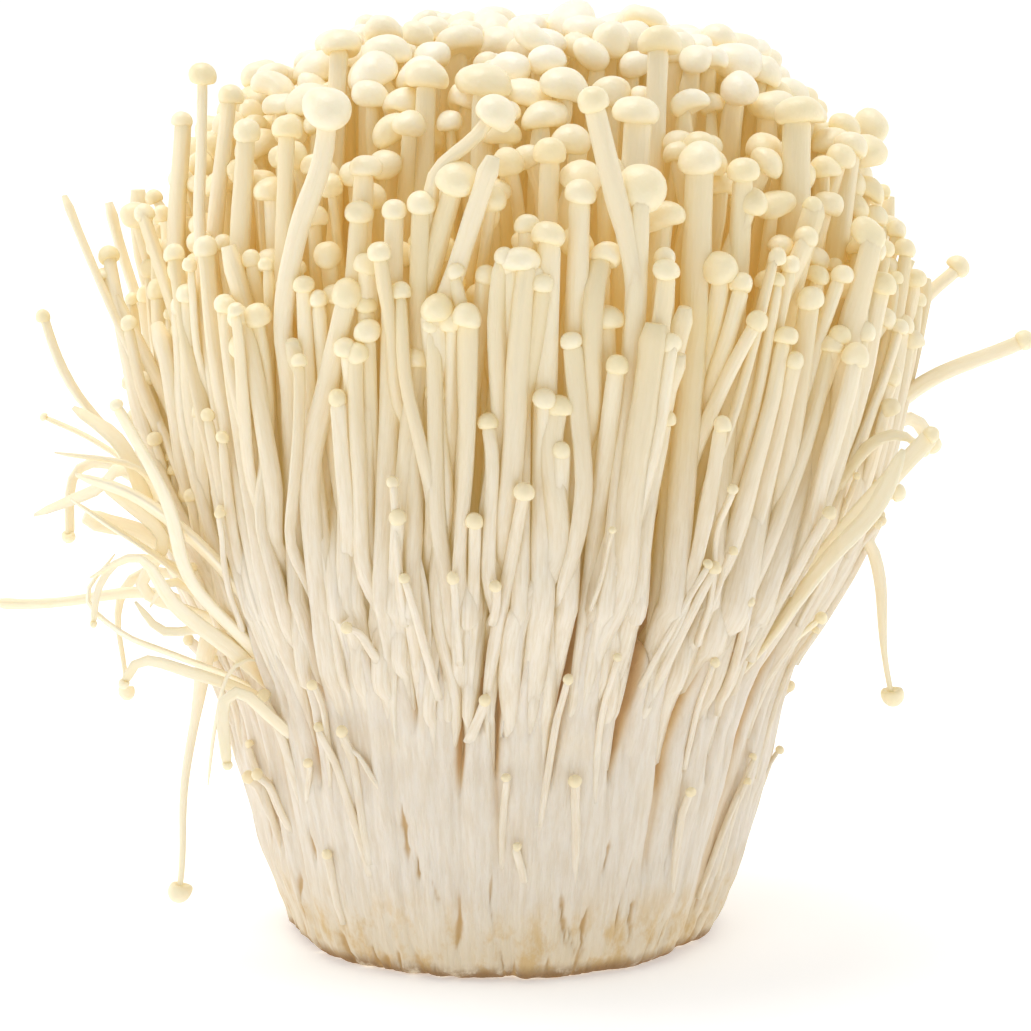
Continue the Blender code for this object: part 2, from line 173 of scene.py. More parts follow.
# Thin flattened stems that hang loose on the bunch's sides: stem radius, cap radius, and the way
# as x, y and z, point by point.
LOOSE = (
    (0.9, 0, (-31, -21, 42, -37, -25, 50, -46, -27, 59, -55, -26, 65, -60, -24, 68)),
    (0.8, 0, (-33, -17, 46, -39, -20, 53, -48, -22, 64, -53, -21, 75, -60, -18, 80)),
    (0.7, 0, (-31, -23, 40, -37, -28, 47, -45, -30, 54, -50, -31, 61, -57, -30, 58)),
    (0.6, 0, (-30, -20, 36, -37, -24, 42, -46, -25, 46, -53, -25, 49, -58, -24, 54, -54, -23, 60)),
    (0.55, 0.8, (-30, -21, 36, -36, -26, 41, -43, -28, 44, -50, -29, 46, -53, -29, 42)),
    (0.5, 0.75, (-27, -25, 32, -32, -30, 38, -36, -32, 42, -38.5, -32, 40, -38, -32, 31)),
    (0.9, 0, (-32, -16, 44, -39, -19, 52, -46, -21, 62, -50, -24, 72, -62, -26, 75)),
    (0.7, 1.0, (-29, -22, 40, -35, -28, 48, -43, -31, 58, -46, -34, 70, -53, -35, 84)),
    (0.8, 0, (-34, -14, 48, -42, -17, 58, -52, -18, 71, -57, -17, 68, -66, -15, 64)),
    (0.6, 0, (-32, -18, 42, -40, -22, 50, -50, -24, 55, -47, -26, 63, -56, -26, 71)),
    (1.3, 0, (-27, -25, 40, -33, -29, 51, -40, -30, 61, -50, -29, 69, -59, -27, 72)),
    (0.4, 0, (-30, -25, 42, -34, -28, 46, -38, -29, 44, -40, -29, 36, -41, -29, 28)),
    (0.35, 0.55, (-36, -22, 50, -44, -25, 58, -52, -26, 60, -56, -26, 56, -57, -26, 50)),
    (0.5, 0, (-35, -24, 47, -41, -27, 54, -46, -27, 57, -49, -26, 53)),
    (0.45, 0, (-34, -25, 44, -40, -28, 50, -47, -28, 50, -51, -27, 54)),
    (0.9, 1.2, (33, -22, 44, 39, -25, 52, 47, -27, 63, 55, -26, 72, 61, -24, 78)),
    (0.7, 1.1, (37, -20, 56, 44, -23, 65, 51, -24, 75, 56, -23, 77, 60, -22, 74)),
    (0.8, 0, (31, -24, 40, 37, -28, 48, 45, -31, 60, 52, -31, 68, 56, -29, 76)),
)

# The mushrooms that leave the bunch, round the same ways as the CAD part's: lane, stem radius,
# cap radius, and the way as distance from the axis, lean in degrees and height, point by point.
LANES = 50
STRAYS = {
    "stray_left_hanging": (-9, 1.5, 1.7, (42.2, 0, 46, 45.4, 0, 47, 47.6, -1, 35, 50.5, -2, 9)),
    "stray_left_raised": (-10, 0.9, 1.1, (44, -1, 50, 54, -3, 70, 62, -4, 82, 66, -4, 94)),
    "stray_left_broken": (-11, 1.4, 0, (45.4, 0, 52, 51.5, -1, 60, 60, -2, 63)),
    "stray_left_level": (-12, 0.9, 0, (42, 0, 46, 50, -1, 50, 62, -1, 49, 73, -1, 49)),
    "stray_left_drooping": (-13, 0.9, 1.3, (43.8, 0, 50, 52, 1, 52, 56, 2, 45, 54, 3, 34)),
    "stray_left_curled": (-14, 0.8, 1.1, (45.8, 0, 54, 56, 1, 66, 62.5, 2, 66, 64, 3, 55)),
    "stray_left_thin": (-15, 0.5, 0.7, (45.8, 0, 54, 54, 1, 63, 62, 2, 68, 70, 3, 73)),
    "stray_left_upright": (-16, 1, 0, (49, 0, 60, 56, 2, 80, 62, 3, 104)),
    "stray_right_low": (9, 0.6, 0.9, (41.5, 1, 44, 44.5, 2, 46, 49, 4, 50)),
    "stray_right_short": (10, 1, 1.3, (47.2, 0, 56, 52.5, 1, 65, 60, 2, 68)),
    "stray_right_hanging": (11, 1, 1.7, (45, 0, 52, 51.5, 1, 60, 54.8, 2, 54, 57, 3, 34)),
    "stray_right_long": (12, 1.2, 1.6, (46.2, 0, 54, 54, 0, 73, 62, 0, 82, 76, 0, 88)),
    "stray_right_high": (13, 1.2, 1.8, (49.2, 0, 60, 55, 0, 80, 60, 1, 91, 68, 2, 97)),
    "stray_right_bowed": (14, 1.2, 1.5, (47.4, 0, 56, 54.5, 1, 69, 62, 2, 73, 66.5, 3, 67)),
}


def through(table, x):
    """Linear interpolation in a table of pairs."""
    xs, ys = zip(*table)
    return np.interp(x, xs, ys)


def eased(t):
    """0 to 1 with a soft start and end."""
    return t * t * (3 - 2 * t)


def evened(values, width, mode="edge", **ends):
    """The values with their unevenness taken out over that many of them."""
    kernel = np.hanning(width)
    padded = np.pad(values, width // 2, mode=mode, **ends)
    return np.convolve(padded, kernel / kernel.sum(), "valid")


def length_along(points):
    """How far along the line each point is."""
    return np.concatenate([[0], np.cumsum(np.linalg.norm(np.diff(points, axis=0), axis=1))])


def read_off(at, s, points):
    """The places on the line through the points, which are at s, that are at the given values."""
    return np.stack([np.interp(at, s, values) for values in points.T], -1)


def gridded(x, y, z, poles):
    """The points of a grid, which the three are spread over, and its two poles."""
    grid = np.stack(np.broadcast_arrays(x, y, z), -1).reshape(-1, 3)
    return np.concatenate([grid, poles])


def flow(share, bearing, z):
    """Where a stem is at height z, if its foot is at a share of the base's radius."""
    angle = np.radians(bearing)
    radius = share * through(FAN, z)
    return np.stack([through(LEAN, z) + radius * np.sin(angle), -radius * np.cos(angle)], -1)


@dataclass
class Mushroom:
    """One mushroom. line holds the centreline's (x, y) at every level of LEVELS."""

    line: np.ndarray
    top: float
    stem: float
    cap: float
    mobility: float = 1.0
    share: float = 1.0
    tilt: float = 0.0
    nods: bool = False
    pale: bool = False
    flat: float = 1.0
    squash: float = 0.25
    held: float = 0.0
    splay: float = 0.0
    seed: int = 0
    points: np.ndarray = None

    def widening(self):
        """How strongly the stem widens by being flat. The ones listed one by one have their width.
        """
        return 0.38 if self.mobility == 1 else 0.15


def wobble(rng, size):
    """A slow sideways wave up the stem."""
    wave = np.zeros((len(LEVELS), 2))
    for axis in range(2):
        for length, part in ((rng.uniform(70, 130), 1.0), (rng.uniform(28, 50), 0.35)):
            wave[:, axis] += part * size * np.sin(math.tau * (LEVELS / length + rng.random()))
    return wave


def canopy_over(share):
    """Height at which a stem of that share of the base's radius reaches the canopy."""
    height = 120.0
    for _ in range(8):
        height = 0.5 * height + 0.5 * through(CANOPY, share * through(FAN, height))
    return height


def drifting(rng, share, bearing, drift):
    """A stem's way up that wanders sideways from its foot's bearing by about drift mm.

    The ones at the front sweep to the sides, and most to the right."""
    around = (bearing + 90) % 360 - 90
    sweep = 0.0
    if abs(around) < 90:
        sweep = (20 if around > 0 else 5) * math.sin(math.radians(2 * around))
    aside = rng.normal(share * sweep, drift) * (LEVELS / 100) ** 1.3
    turn = np.degrees(aside / np.maximum(share * through(FAN, LEVELS), 8))
    return flow(share, bearing + turn, LEVELS) + wobble(rng, 0.55)


def kinked(rng, line, top, chance):
    """The way up with a sharp bend in it now and then, or with its head bent to one side."""
    if rng.random() < chance:
        at = top * rng.uniform(0.65, 0.9)
        line = line + rng.normal(0, 0.13, 2) * np.clip(LEVELS - at, 0, None)[:, None]
    if rng.random() < chance:
        length = rng.uniform(7, 13)
        turn = rng.uniform(0, math.tau)
        bend = np.clip((LEVELS - top + length) / length, 0, 1.2) ** 2 * rng.uniform(1.5, 4.0)
        line = line + bend[:, None] * np.array([math.cos(turn), math.sin(turn)])
    return line


def on_the_left(bearing):
    """1 on the left flank, where the outer mushrooms fan out, falling to 0 beside it."""
    return math.exp(-(((bearing % 360 - 288) / 32) ** 2))


def inner_mushrooms(rng):
    """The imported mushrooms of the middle, of which the caps show."""
    made = []
    for i in range(INNER_MUSHROOMS):
        share = INNER_SHARE * math.sqrt((i + 0.5) / INNER_MUSHROOMS)
        share = min(share + rng.normal(0, 0.01), INNER_SHARE)
        bearing = i * GOLDEN_ANGLE + rng.normal(0, 2.0) / max(share, 0.15)
        size = rng.beta(1.4, 1.7) * np.interp(share, (0.45, 0.83), (1.0, 0.55))
        if share > 0.7:
            size *= 1 - 0.6 * on_the_left(bearing)
        cap = 1.75 + 2.3 * size
        top = canopy_over(share) - (8 - 4 * share) * rng.random() * (1 - size)
        top += rng.normal(0, 0.6)
        stem = cap * rng.uniform(0.42, 0.62)
        line = kinked(rng, drifting(rng, share, bearing, 3.0), top, 0.3)
        made.append(Mushroom(line, top, stem, cap, share=share, tilt=rng.normal(0, 16), seed=i))
    return made


def outer_mushrooms(rng):
    """The shells of mushrooms round the outside, of every height."""
    made = []
    for k, (share, count, lowest, reaching) in enumerate(SHELLS):
        for i in range(count):
            bearing = (i + 0.5 * k + rng.uniform(-0.25, 0.25)) * 360 / count
            in_front = -44 < (bearing + 180) % 360 - 180 < 58
            if k == 0 and rng.random() < 0.4 and in_front:
                continue
            canopy = canopy_over(share)
            if share > 0.9:
                canopy *= 1 + 0.07 * abs(math.cos(math.radians(bearing)))
            if rng.random() < reaching:
                top = canopy * rng.uniform(0.93, 1.01)
            else:
                top = canopy * rng.uniform(0.84 if in_front else lowest, 0.94)
            left = on_the_left(bearing)
            sparse = k == 0 and left > 0.35 and i * GOLDEN_SHARE % 1 < 0.4 + 0.4 * left
            if sparse:
                top = 64 + 26 * (i * i * GOLDEN_SHARE % 1)
            stem = rng.choice((0.9, 1.1, 1.3, 1.5)) * rng.uniform(0.9, 1.1)
            stem *= np.interp(top, (50, 90), (0.75, 1.0))
            cap = stem * rng.uniform(1.2, 1.5) * np.interp(top, (95, 120), (1.0, 1.25))
            slender = 1 - 0.2 * left
            stem, cap = stem * slender, cap * slender
            if rng.random() < 0.07:
                cap = 0.0
            line = kinked(rng, drifting(rng, share + rng.normal(0, 0.008), bearing, 5.0), top, 0.14)
            seed = 2000 + 200 * k + i
            m = Mushroom(line, top, stem, cap, share=share, tilt=rng.normal(0, 11), seed=seed)
            m.held = rng.choice((0.0, 0.0, 0.03, 0.07)) if k == 0 else 0.0
            m.squash = rng.uniform(0.05, 0.45)
            if k == 0 and not sparse:
                m.splay = left * (5 * (i * GOLDEN_SHARE % 1) - 1)
            elif k > 0:
                m.held = 0.09 * left
            made.append(m)
    return made


def behind(seen_x, seen_z, y):
    """Where at depth y something is that seems to be at (seen_x, seen_z) on the front."""
    down = math.radians(VIEW_ELEVATION)
    tilt = math.tan(down)
    rise = (seen_z - FRONT_MIDDLE) / FRONT_AWAY
    eye_y = -VIEW_DISTANCE * math.cos(down)
    eye_z = VIEW_AIM[2] + VIEW_DISTANCE * math.sin(down)
    z = eye_z + (y - eye_y) * (rise - tilt) / (1 + tilt * rise)
    away = (y - eye_y) * math.cos(down) - (z - eye_z) * math.sin(down)
    return VIEW_AIM[0] + (seen_x - VIEW_AIM[0]) * away / SIDE_AWAY, z


def front_mushrooms(rng):
    """The mushrooms listed one by one in FRONT."""
    made = []
    for i, (stem, cap, depth, way, *nod) in enumerate(FRONT):
        seen_x, seen_z = np.array(way, float).reshape(-1, 2).T
        seen_z[-1] += 0.6 * cap
        xs, zs = seen_x, seen_z
        for _ in range(4):
            start, top = zs[0], zs[-1]
            reach = min(through(FAN, top) + 1.0, 56.0) - 0.3 * cap
            across = xs[-1] - through(LEAN, top)
            top_y = -math.sqrt(max(reach**2 - across**2, 30.0)) + depth
            from_axis = xs[0] - through(LEAN, start)
            low_y = -math.sqrt(through(FAN, start) ** 2 - from_axis**2) + min(depth, 6) * 0.3
            low_y -= max(1.5 - stem, 0.0)
            ys = np.interp(zs, (start, top), (low_y, top_y))
            xs, zs = behind(seen_x, seen_z, ys)
        from_axis = xs[0] - through(LEAN, start)
        foot = math.degrees(math.atan2(from_axis, -low_y))
        share = math.hypot(from_axis, low_y) / through(FAN, start)
        free = read_off(LEVELS, zs, np.stack([xs, ys], -1))
        line = np.where((LEVELS < start)[:, None], flow(share, foot, LEVELS), free)
        tilt = nod[0] if nod else rng.normal(0, 9)
        m = Mushroom(line, top, stem, cap, 0.06, share=0.97, tilt=tilt, seed=4000 + i)
        m.nods = bool(nod)
        m.squash = rng.uniform(0.05, 0.3)
        low = np.arange(BURIED, start - 3, 4.0)
        low = np.concatenate([flow(share, foot, low), low[:, None]], -1)
        m.points = curved(np.concatenate([low, np.stack([xs, ys, zs], -1)]))
        made.append(m)
    return made


def pins(rng, flank):
    """The thin short mushrooms that grow out of the flank of the base and cling to it."""
    heights, surface = flank
    sides = surface.shape[1]
    made = []
    for i in range(PINS):
        foot = 6 + 52 * rng.random() ** 0.9
        top = foot + rng.uniform(5, 24)
        stem = rng.uniform(0.38, 0.8)
        cap = stem * rng.uniform(1.15, 1.5)
        t = np.linspace(0, 1, 24)
        z = foot + (top - foot) * t
        bearing = (i + rng.random()) / PINS * math.tau
        aside = rng.normal(0, 2.2) * t + rng.normal(0, 1.0) * t * t
        bearing = bearing + aside / np.interp(z, heights, surface.mean(1))
        column = bearing / math.tau * sides
        near = surface[:, np.round(column[:, None] + np.arange(-4, 5)).astype(int) % sides].max(-1)
        radius = np.array([np.interp(z[k], heights, near[:, k]) for k in range(len(t))])
        radius = evened(radius, 13)
        off = 1.9 + rng.uniform(-0.6, 1.6)
        radius += np.interp(t, (0, 0.25, 0.75, 1.0), (-1.1, -0.1, 0.5, off)) * stem
        m = Mushroom(None, top, stem, cap, share=1.05, tilt=rng.normal(0, 16), seed=1000 + i)
        x, y = through(LEAN, z) + radius * np.sin(bearing), -radius * np.cos(bearing)
        m.points = resample(np.stack([x, y, z], -1), 1.6)
        made.append(m)
    return made


def curved(route):
    """A smooth line through the points of the route."""
    ends = np.concatenate([[2 * route[0] - route[1]], route, [2 * route[-1] - route[-2]]])
    t = np.linspace(0, 1, 12, endpoint=False)[:, None]
    curve = []
    for p0, p1, p2, p3 in zip(ends, ends[1:], ends[2:], ends[3:]):
        square = (2 * p0 - 5 * p1 + 4 * p2 - p3) * t**2
        cube = (3 * p1 - p0 - 3 * p2 + p3) * t**3
        curve.append(0.5 * (2 * p1 + (p2 - p0) * t + square + cube))
    return resample(np.concatenate([*curve, route[-1:]]), 2.0)


def loose_stems():
    """The thin flattened stems that hang loose on the sides."""
    made = []
    for i, (stem, cap, way) in enumerate(LOOSE):
        m = Mushroom(None, way[-1], stem, cap, share=1.05, flat=0.42, pale=True, seed=8000 + i)
        m.points = curved(np.array(way, float).reshape(-1, 3))
        made.append(m)
    return made


def stray(name, rng):
    """A mushroom that leaves the bunch, with its finished centreline."""
    lane, stem, cap, way = STRAYS[name]
    bearing = lane * 360 / LANES
    start = flow(0.93, bearing, 40.0)
    route = [np.array([*start, 38.0])]
    for radius, lean, z in np.array(way, float).reshape(-1, 3):
        angle = math.radians(bearing + lean)
        route.append(np.array([radius * math.sin(angle), -radius * math.cos(angle), z]))
    route = np.array(route)
    points = curved(route)
    s = np.linspace(0, 1, len(points))
    for axis in range(3):
        points[:, axis] += 0.5 * np.sin(math.tau * (s * rng.uniform(1.0, 2.2) + rng.random())) * s
    tilt = rng.normal(0, 12)
    m = Mushroom(None, points[-1, 2], stem, cap, seed=6000 + lane % LANES, tilt=tilt, pale=True)
    m.points = points
    return m


def foot_taper(z):
    """How much thinner a stem is inside the fused base."""
    return np.interp(z, (0, 25, 46), (0.6, 0.8, 1.0))


def pack(mushrooms, rounds=70):
    """Pushes the mushrooms apart wherever their stems or caps overlap at a level."""
    home = np.stack([m.line for m in mushrooms])
    shift = np.zeros_like(home)
    radius = np.zeros(home.shape[:2])
    for i, m in enumerate(mushrooms):
        on = LEVELS <= m.top
        radius[i, on] = m.stem * foot_taper(LEVELS[on])
        in_cap = (LEVELS >= m.top - 1.3 * m.cap) & (LEVELS <= m.top + 0.5)
        radius[i, in_cap] = 0.9 * m.cap
    mobility = np.array([m.mobility for m in mushrooms])
    for step in range(rounds):
        line = home + shift
        if step % 12 == 0:
            coarse = line[:, ::4]
            gap = np.linalg.norm(coarse[:, None] - coarse[None], axis=-1).min(-1)
            a, b = np.nonzero(np.triu(gap < 10.0, 1))
            both = (radius[a] > 0) & (radius[b] > 0)
            share_a = (mobility[a] / (mobility[a] + mobility[b]))[:, None]
        away = line[a] - line[b]
        distance = np.linalg.norm(away, axis=-1) + 1e-6
        push = np.clip(radius[a] + radius[b] + 0.05 - distance, 0, None) * both
        step_ab = away * (0.8 * push / distance)[..., None]
        np.add.at(shift, a, step_ab * share_a[..., None])
        np.add.at(shift, b, -step_ab * (1 - share_a)[..., None])
        for _ in range(2):
            padded = np.pad(shift, ((0, 0), (1, 1), (0, 0)), mode="edge")
            shift = 0.25 * padded[:, :-2] + 0.5 * shift + 0.25 * padded[:, 2:]
        shift *= 0.996
    packed = home + shift
    centre = np.stack([through(LEAN, LEVELS), np.zeros(len(LEVELS))], -1)
    distance = np.linalg.norm(packed - centre, axis=-1)
    held = np.array([m.held for m in mushrooms])[:, None]
    limit = 0.985 * through(FAN, LEVELS)[None] * (1 - held * (LEVELS / 90) ** 2)
    reach = np.minimum(distance, limit) + np.tanh(np.maximum(distance - limit, 0))
    packed = centre + (packed - centre) * (reach / np.maximum(distance, 1e-6))[..., None]
    y = np.clip(packed[..., 1], -HALF_DEPTH, HALF_DEPTH)
    packed[..., 1] = y + 7.5 * np.tanh((packed[..., 1] - y) / 7.5)
    outward = packed - centre
    outward = outward / np.maximum(np.linalg.norm(outward, axis=-1), 1e-6)[..., None]
    splay = np.array([m.splay for m in mushrooms])[:, None]
    splay = splay * np.clip((LEVELS - 55) / 50, 0, 1.2) ** 1.5
    for m, line in zip(mushrooms, packed + splay[..., None] * outward):
        m.line = line


# ---- meshes


class MeshParts:
    """Vertices, faces and vertex attributes, gathered for one mesh."""

    def __init__(self):
        self.points, self.quads, self.triangles = [], [], []
        self.attributes = {}
        self.count = 0

    def add(self, points, quads, triangles, **attributes):
        self.points.append(points)
        self.quads.append(quads + self.count)
        self.triangles.append(triangles + self.count)
        for name, values in attributes.items():
            self.attributes.setdefault(name, []).append(values)
        self.count += len(points)

    def mesh(self, name):
        points = np.concatenate(self.points) * MM
        quads = np.concatenate(self.quads)
        triangles = np.concatenate(self.triangles)
        mesh = bpy.data.meshes.new(name)
        mesh.vertices.add(len(points))
        mesh.vertices.foreach_set("co", points.ravel())
        mesh.loops.add(quads.size + triangles.size)
        mesh.loops.foreach_set("vertex_index", np.concatenate([quads.ravel(), triangles.ravel()]))
        starts = [np.arange(len(quads)) * 4, quads.size + np.arange(len(triangles)) * 3]
        starts = np.concatenate(starts)
        mesh.polygons.add(len(starts))
        mesh.polygons.foreach_set("loop_start", starts)
        mesh.update(calc_edges=True)
        for key, values in self.attributes.items():
            values = np.concatenate(values)
            kind, part = ("FLOAT", "value") if values.ndim == 1 else ("FLOAT_VECTOR", "vector")
            attribute = mesh.attributes.new(key, kind, "POINT")
            attribute.data.foreach_set(part, values.ravel().astype(np.float32))
        mesh.shade_smooth()
        mesh.validate()
        return mesh


def grid_faces(rings, sides):
    """Quads between successive rings, and the triangles that close both ends over two poles."""
    ring = np.arange(rings - 1)[:, None] * sides
    i = np.arange(sides)[None]
    j = (i + 1) % sides
    quads = np.stack([ring + i, ring + j, ring + sides + j, ring + sides + i], -1).reshape(-1, 4)
    start, end = rings * sides, rings * sides + 1
    last = (rings - 1) * sides
    i, j = i[0], j[0]
    low = np.stack([np.full(sides, start), j, i], -1)
    high = np.stack([np.full(sides, end), last + i, last + j], -1)
    return quads, np.concatenate([low, high])


def frames(points):
    """Two unit vectors across the line at every point, turning as little as possible."""
    along = np.gradient(points, axis=0)
    along /= np.linalg.norm(along, axis=1, keepdims=True)
    side = np.cross(along[0], (0.0, 1.0, 0.13))
    sides = []
    for direction in along:
        side = side - direction * side.dot(direction)
        side = side / np.linalg.norm(side)
        sides.append(side)
    sides = np.array(sides)
    return sides, np.cross(along, sides)


def depth_inside(points):
    """How deep inside the bunch points are, from 0 on its outside to 1. The flesh look uses it to
    paint a golden glow, for the light that bounces between the packed mushrooms.
    """
    x = points[:, 0] - through(LEAN, points[:, 2])
    radius = np.hypot(x, points[:, 1])
    from_side = through(FAN, points[:, 2]) - radius
    below_top = through(CANOPY, radius) - points[:, 2]
    depth = np.minimum(from_side - 1.0, 0.7 * below_top - 2.0)
    return eased(np.clip(depth / 13, 0, 1))


def base_like(m, points):
    """How much the flesh looks like the fused base's: 1 low down, 0 higher up and on strays."""
    return np.interp(points[:, 2], FLESH_HEIGHTS, (0.0 if m.pale else 1.0, 0.0))


def smooth_noise(rng, x, length):
    """A smooth random wave of about unit size along x."""
    knots = rng.normal(0, 0.6, int(np.ptp(x) / length) + 4)
    at = (x - x.min()) / length + 1
    i = np.clip(at.astype(int), 1, len(knots) - 3)
    t = eased(at - i)
    return knots[i] * (1 - t) + knots[i + 1] * t


def add_stem(parts, m, rng, detail=1.0):
    """The stem as a slightly flattened, uneven tube along m.points."""
    sides = 6 if detail < 1 else 12 if m.share > 0.95 else 8
    points = m.points
    if m.cap > 0:
        points = trimmed(points, 0.6 * m.cap)
    side, across = frames(points)
    s = length_along(points)
    free = np.interp(points[:, 2], (34, 48), (0, 1)) if m.share <= 1 else np.ones(len(s))
    flat = m.flat * (1 - m.squash)
    twist = rng.uniform(0, math.tau) + s * rng.normal(0, 0.016)
    if 0.8 < m.share <= 1:
        around = np.array([-points[-1, 1], points[-1, 0], 0.0])
        twist += math.atan2(around @ across[-1], around @ side[-1]) - twist[-1] + rng.normal(0, 0.5)
    uneven = 0.08 * smooth_noise(rng, s, 11.0) + 0.035 * smooth_noise(rng, s, 3.5)
    radius = m.stem * (1 + uneven * free)
    from_tip = s[-1] - s
    if m.cap > 0:
        at, sizes = (0, 0.5 * m.cap, 3 * m.cap, 14), (0.6, 0.9, 0.93, 1)
    elif m.flat < 1:
        at, sizes = (0, 1.5, 6), (0.3, 0.7, 1)
    else:
        at, sizes = (0, 0.4, 1.2, 5), (0.75, 1.15, 1.18, 1)
    radius *= np.interp(from_tip, at, sizes)
    if m.share <= 1:
        merged = 30 + 15 * (m.seed * GOLDEN_SHARE % 1)
        z = points[:, 2]
        radius *= foot_taper(z) * np.interp(z, (merged, merged + 12), (0.5, 1.0))
    angle = math.tau * np.arange(sides) / sides
    a, b = np.cos(angle), np.sin(angle)
    cos, sin = np.cos(twist)[:, None], np.sin(twist)[:, None]
    ring_a, ring_b = a * cos - flat * b * sin, a * sin + flat * b * cos
    ridge = 1 + free[:, None] * (
        0.1 * np.sin(3 * angle + rng.uniform(0, 6))
        + 0.07 * rng.random() * np.sin(4 * angle + rng.uniform(0, 6))
        + 0.05 * rng.random() * np.sin(5 * angle + rng.uniform(0, 6))
    )
    offsets = ring_a[..., None] * side[:, None] + ring_b[..., None] * across[:, None]
    offsets *= (radius[:, None] * ridge * flat**-m.widening())[..., None]
    verts = (points[:, None] + offsets).reshape(-1, 3)
    verts = np.concatenate([verts, points[:1], points[-1:]])
    quads, triangles = grid_faces(len(points), sides)
    up = s / 9 + m.seed * 7.31
    grain = gridded(a * m.stem, b * m.stem, up[:, None], [[0, 0, up[0]], [0, 0, up[-1]]])
    near_cap = np.interp(from_tip, (0, 6, 30), (1.0, 0.45, 0.0))
    near_cap = np.concatenate([np.repeat(near_cap, sides), near_cap[:1], near_cap[-1:]])
    count = len(verts)
    parts.add(
        verts, quads, triangles,
        grain=grain,
        cap=np.zeros(count),
        near_cap=near_cap,
        # Painted light: the loose and stray stems get the palest flesh, for the light that shines
        # through these thin stems.
        tone=np.full(count, 0.1 if m.pale else rng.uniform(0.2, 1.0)),
        deep=depth_inside(verts),
        low=base_like(m, verts),
    )


# Outline of a cap from under its gills, over the rim, to the top: (radius, height), where the
# rim has radius 1 and the height is in cap heights.
CAP_OUTLINE = (
    (0.48, 0.09), (0.68, 0.03), (0.85, 0.07), (0.955, 0.18), (1.0, 0.33), (0.985, 0.48),
    (0.925, 0.62), (0.82, 0.745), (0.68, 0.85), (0.49, 0.935), (0.28, 0.985), (0.10, 1.0),
)


def add_cap(parts, m, rng):
    """The cap on the end of the stem, lopsided, and lobed where it is a big one."""
    sides = 20 if m.cap > 2.2 else 16 if m.cap > 1.4 else 12
    outline = np.array(CAP_OUTLINE)
    along = m.points[-1] - m.points[-3]
    axis = Vector(along).normalized()
    side = axis.cross(Vector((0.2, 1, 0))).normalized()
    across = axis.cross(side)
    lean = math.radians(m.tilt)
    turn = rng.uniform(0, math.tau)
    toward = Vector((0, -1, 0.2)) if m.nods else side * math.cos(turn) + across * math.sin(turn)
    tipped = axis * math.cos(lean) + toward * math.sin(lean)
    axis = np.array(tipped.normalized())
    side = np.array(Vector(axis).cross(Vector((0.2, 1, 0))).normalized())
    across = np.cross(axis, side)
    angle = math.tau * np.arange(sides) / sides
    big = np.interp(m.cap, (1.2, 3.0), (0.35, 1.0)) * (0.5 if m.mobility < 1 else 1)
    height = m.cap * rng.uniform(0.88, 1.1) * np.interp(m.cap, (1.2, 3.4), (1.65, 1.18))
    level = outline[:, 1:]
    lump = 1 + big * 0.14 * np.sin(2 * angle + rng.uniform(0, 6)) * rng.uniform(0.2, 1)
    if rng.random() < 0.3 * big:
        notch = np.angle(np.exp(1j * (angle - rng.uniform(0, 6))))
        lump = lump - rng.uniform(0.2, 0.38) * np.exp(-((notch / 0.5) ** 2))
    droop = big * 0.12 * np.sin(angle + rng.uniform(0, 6))
    droop += big * 0.08 * np.sin(2 * angle + rng.uniform(0, 6))
    radial = outline[:, :1] * (lump[None] * (1 - 0.6 * level) + 0.6 * level)
    rise = level + droop[None] * outline[:, :1] ** 2
    unit = np.stack([radial * np.cos(angle), radial * np.sin(angle), rise - 0.35], -1)
    bumps = np.zeros(radial.shape)
    for _ in range(5):
        way = rng.normal(0, 1, 3)
        way *= rng.uniform(1.8, 3.6) / np.linalg.norm(way)
        bumps += rng.uniform(0.3, 1) * np.sin(unit @ way + rng.uniform(0, 6))
    unit *= (1 + 0.07 * big * bumps)[..., None]
    foot = m.points[-1] - axis * height
    verts = foot + m.cap * (unit[..., :1] * side + unit[..., 1:2] * across)
    verts += height * (unit[..., 2:] + 0.35) * axis
    slump = rng.normal(0, 0.11, 2) * m.cap * big
    verts += (slump[0] * side + slump[1] * across) * (level**1.5)[..., None]
    top = verts[-1].mean(0)
    poles = [foot + axis * 0.2 * height, top + axis * 0.01 * height]
    verts = np.concatenate([verts.reshape(-1, 3), poles])
    quads, triangles = grid_faces(len(outline), sides)
    grain = (verts - foot) / 2.2 + m.seed * 3.17
    crown = np.concatenate([np.repeat(outline[:, 1], sides), [0.1, 1.0]])
    count = len(verts)
    parts.add(
        verts, quads, triangles,
        grain=grain,
        cap=np.ones(count),
        near_cap=crown,
        tone=np.full(count, rng.uniform(0.0, 0.5) + (0.45 if m.share > 0.6 else 0.0)),
        deep=depth_inside(verts) * 0.8,
        low=base_like(m, verts),
    )


def centreline(m, spacing):
    """Points along a packed mushroom, from its foot to its top, about spacing apart."""
    z = np.arange(BURIED, m.top, 0.5)
    x, y = read_off(z, LEVELS, m.line).T
    points = [evened(values, 9, "reflect", reflect_type="odd") for values in (x, y, z)]
    return resample(np.stack(points, -1), spacing)


def resample(points, spacing):
    s = length_along(points)
    count = max(4, int(round(s[-1] / spacing)) + 1)
    return read_off(np.linspace(0, s[-1], count), s, points)


def trimmed(points, length):
    """The line without its last stretch."""
    s = length_along(points)
    end = s[-1] - length
    keep = points[s < end - 0.3]
    return np.concatenate([keep, read_off([end], s, points)])


def add_mushroom(parts, m, detail=1.0):
    rng = np.random.default_rng(SEED * 100000 + m.seed)
    add_stem(parts, m, rng, detail)
    if m.cap > 0:
        add_cap(parts, m, rng)


# ---- materials


def srgb(*levels):
    """Linear colour of an sRGB colour in 0 to 255."""
    levels = [c / 255 for c in levels]
    return (*(c / 12.92 if c <= 0.04045 else ((c + 0.055) / 1.055) ** 2.4 for c in levels), 1.0)


